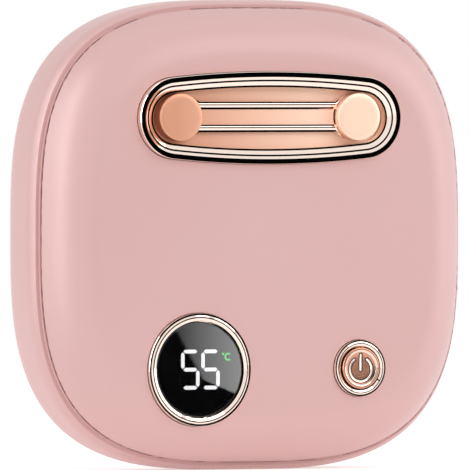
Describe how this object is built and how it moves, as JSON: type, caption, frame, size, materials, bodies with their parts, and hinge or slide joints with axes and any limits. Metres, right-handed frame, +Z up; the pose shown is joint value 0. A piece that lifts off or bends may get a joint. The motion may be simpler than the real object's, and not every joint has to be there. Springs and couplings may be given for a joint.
{
  "type": "electric hand warmer",
  "caption": "Palm-size rounded-square electric hand warmer with a retro grille ornament, a round display and a round power button.",
  "frame": {"origin": "middle of the footprint, on the surface that the warmer stands on", "axes": "+X to the right when looking at the display, +Y from the face through to the back, +Z up"},
  "size_m": [0.0922, 0.025, 0.0899],
  "materials": {
    "pink_abs": "pale pink moulded ABS, fine satin",
    "polished_rose_gold": "polished, rose gold anodised",
    "satin_rose_gold": "satin, rose gold anodised",
    "smoked_acrylic": "glossy, nearly black tint",
    "white_diffuser": "frosted, lit white from behind",
    "green_diffuser": "frosted, lit green from behind",
    "black_nylon": "matt black",
    "nickel_steel": "nickel plated",
    "board_laminate": "green solder mask",
    "aluminium_sheet": "mill finish",
    "polyimide_film": "amber film",
    "white_foam": "soft insulating foam",
    "cell_pouch": "dull silver pouch foil",
    "grey_abs": "matt grey moulded ABS",
    "red_silicone": "insulated lead",
    "black_silicone": "insulated lead",
    "white_silicone": "insulated lead"
  },
  "bodies": {
    "housing": {"front_shell": "pink_abs", "rear_shell": "pink_abs", "grille_bezel": "polished_rose_gold", "grille_plate": "satin_rose_gold", "grille_bar": "satin_rose_gold", "grille_disc_left": "satin_rose_gold", "grille_disc_right": "satin_rose_gold", "display_bezel": "polished_rose_gold", "display_lens": "smoked_acrylic", "digit_light_guide": "white_diffuser", "celsius_light_guide": "green_diffuser", "display_module": "black_nylon", "button_bezel": "polished_rose_gold", "switch_body": "black_nylon", "circuit_board": "board_laminate", "usb_c_shell": "nickel_steel", "usb_c_tongue": "black_nylon", "microcontroller_chip": "black_nylon", "charge_controller_chip": "black_nylon", "power_inductor": "black_nylon", "heater_transistor": "black_nylon", "inner_tray": "grey_abs", "tray_screw_1": "nickel_steel", "tray_screw_2": "nickel_steel", "tray_screw_3": "nickel_steel", "tray_screw_4": "nickel_steel", "battery_cell": "cell_pouch", "battery_protection_board": "board_laminate", "battery_lead_red": "red_silicone", "battery_lead_black": "black_silicone", "rear_foam_pad": "white_foam", "rear_heater_film": "polyimide_film", "rear_heat_plate": "aluminium_sheet", "front_foam_block": "white_foam", "front_heater_film": "polyimide_film", "front_heat_plate": "aluminium_sheet", "rear_heater_lead_1": "white_silicone", "rear_heater_lead_2": "white_silicone", "front_heater_lead_1": "white_silicone", "front_heater_lead_2": "white_silicone", "thermistor": "black_nylon", "thermistor_lead_1": "black_silicone", "thermistor_lead_2": "black_silicone"},
    "power_button": {"button_cap": "polished_rose_gold"},
    "switch_stem": {"switch_plunger": "black_nylon"}
  },
  "joints": [
    {"name": "button_press", "type": "slide", "parent": "housing", "child": "power_button", "axis": [0, 1, 0], "range_m": [0, 0.0004], "stiffness_N_per_m": 1500},
    {"name": "plunger_press", "type": "slide", "parent": "housing", "child": "switch_stem", "axis": [0, 1, 0], "range_m": [0, 0.0005]}
  ],
  "couplings": [
    {"joint": "plunger_press", "follows": "button_press", "ratio": 1}
  ]
}
